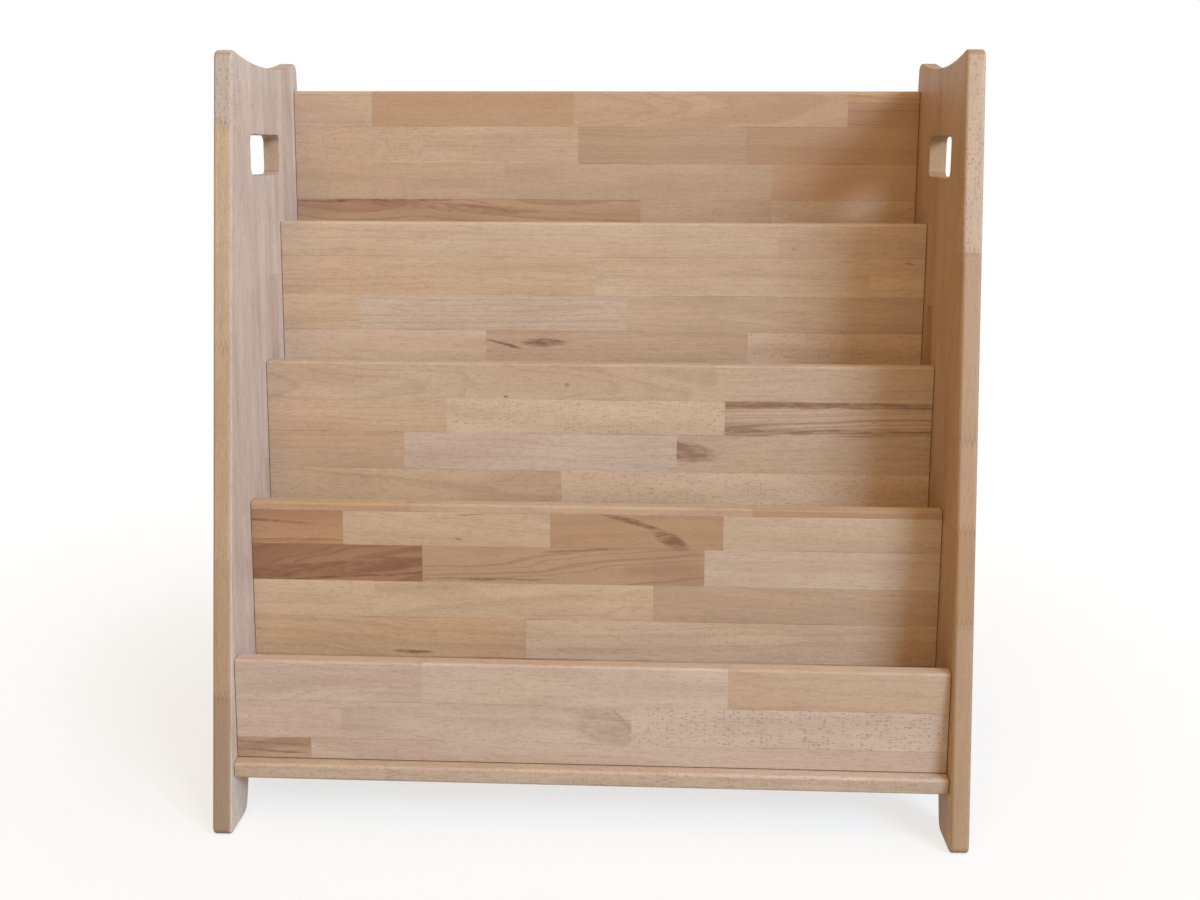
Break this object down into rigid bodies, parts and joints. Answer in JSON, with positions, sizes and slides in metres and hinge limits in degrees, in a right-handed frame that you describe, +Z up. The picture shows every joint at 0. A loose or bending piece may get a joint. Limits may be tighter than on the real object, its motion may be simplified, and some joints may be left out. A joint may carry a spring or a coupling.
{
  "type": "montessori bookshelf",
  "caption": "Low front-facing children's bookshelf: stepped wooden boards that lean back between two shaped side panels with hand slots and a swooped top.",
  "frame": {"origin": "on the floor, under the middle of the bookshelf's box", "axes": "+X to the viewer's right, -Y to the front where the books face, +Z up"},
  "size_m": [0.8, 0.4084, 0.816],
  "materials": {
    "beech_panel": "oiled beech, edge-glued staves",
    "beech_board": "oiled beech, edge-glued staves",
    "zinc_screw": "zinc plated"
  },
  "bodies": {
    "root": {"side_panel_left": "beech_panel", "side_panel_right": "beech_panel", "base_shelf": "beech_board", "front_rail": "beech_board", "tier_board_2": "beech_board", "tier_board_3": "beech_board", "tier_board_4": "beech_board", "tier_board_5": "beech_board", "pocket_floor_2": "beech_board", "pocket_floor_3": "beech_board", "pocket_floor_4": "beech_board", "screw_left_base_shelf_front": "zinc_screw", "screw_left_base_shelf_rear": "zinc_screw", "screw_left_front_rail_low": "zinc_screw", "screw_left_front_rail_high": "zinc_screw", "screw_left_tier_board_2_low": "zinc_screw", "screw_left_tier_board_2_high": "zinc_screw", "screw_left_tier_board_3_low": "zinc_screw", "screw_left_tier_board_3_high": "zinc_screw", "screw_left_tier_board_4_low": "zinc_screw", "screw_left_tier_board_4_high": "zinc_screw", "screw_left_tier_board_5_low": "zinc_screw", "screw_left_tier_board_5_high": "zinc_screw", "screw_left_pocket_floor_2_middle": "zinc_screw", "screw_left_pocket_floor_3_middle": "zinc_screw", "screw_left_pocket_floor_4_middle": "zinc_screw", "screw_right_base_shelf_front": "zinc_screw", "screw_right_base_shelf_rear": "zinc_screw", "screw_right_front_rail_low": "zinc_screw", "screw_right_front_rail_high": "zinc_screw", "screw_right_tier_board_2_low": "zinc_screw", "screw_right_tier_board_2_high": "zinc_screw", "screw_right_tier_board_3_low": "zinc_screw", "screw_right_tier_board_3_high": "zinc_screw", "screw_right_tier_board_4_low": "zinc_screw", "screw_right_tier_board_4_high": "zinc_screw", "screw_right_tier_board_5_low": "zinc_screw", "screw_right_tier_board_5_high": "zinc_screw", "screw_right_pocket_floor_2_middle": "zinc_screw", "screw_right_pocket_floor_3_middle": "zinc_screw", "screw_right_pocket_floor_4_middle": "zinc_screw", "screw_under_front_rail_left": "zinc_screw", "screw_under_front_rail_right": "zinc_screw", "screw_under_tier_board_2_left": "zinc_screw", "screw_under_tier_board_2_right": "zinc_screw", "screw_under_tier_board_3_left": "zinc_screw", "screw_under_tier_board_3_right": "zinc_screw", "screw_under_tier_board_4_left": "zinc_screw", "screw_under_tier_board_4_right": "zinc_screw", "screw_under_tier_board_5_left": "zinc_screw", "screw_under_tier_board_5_right": "zinc_screw"}
  },
  "joints": []
}
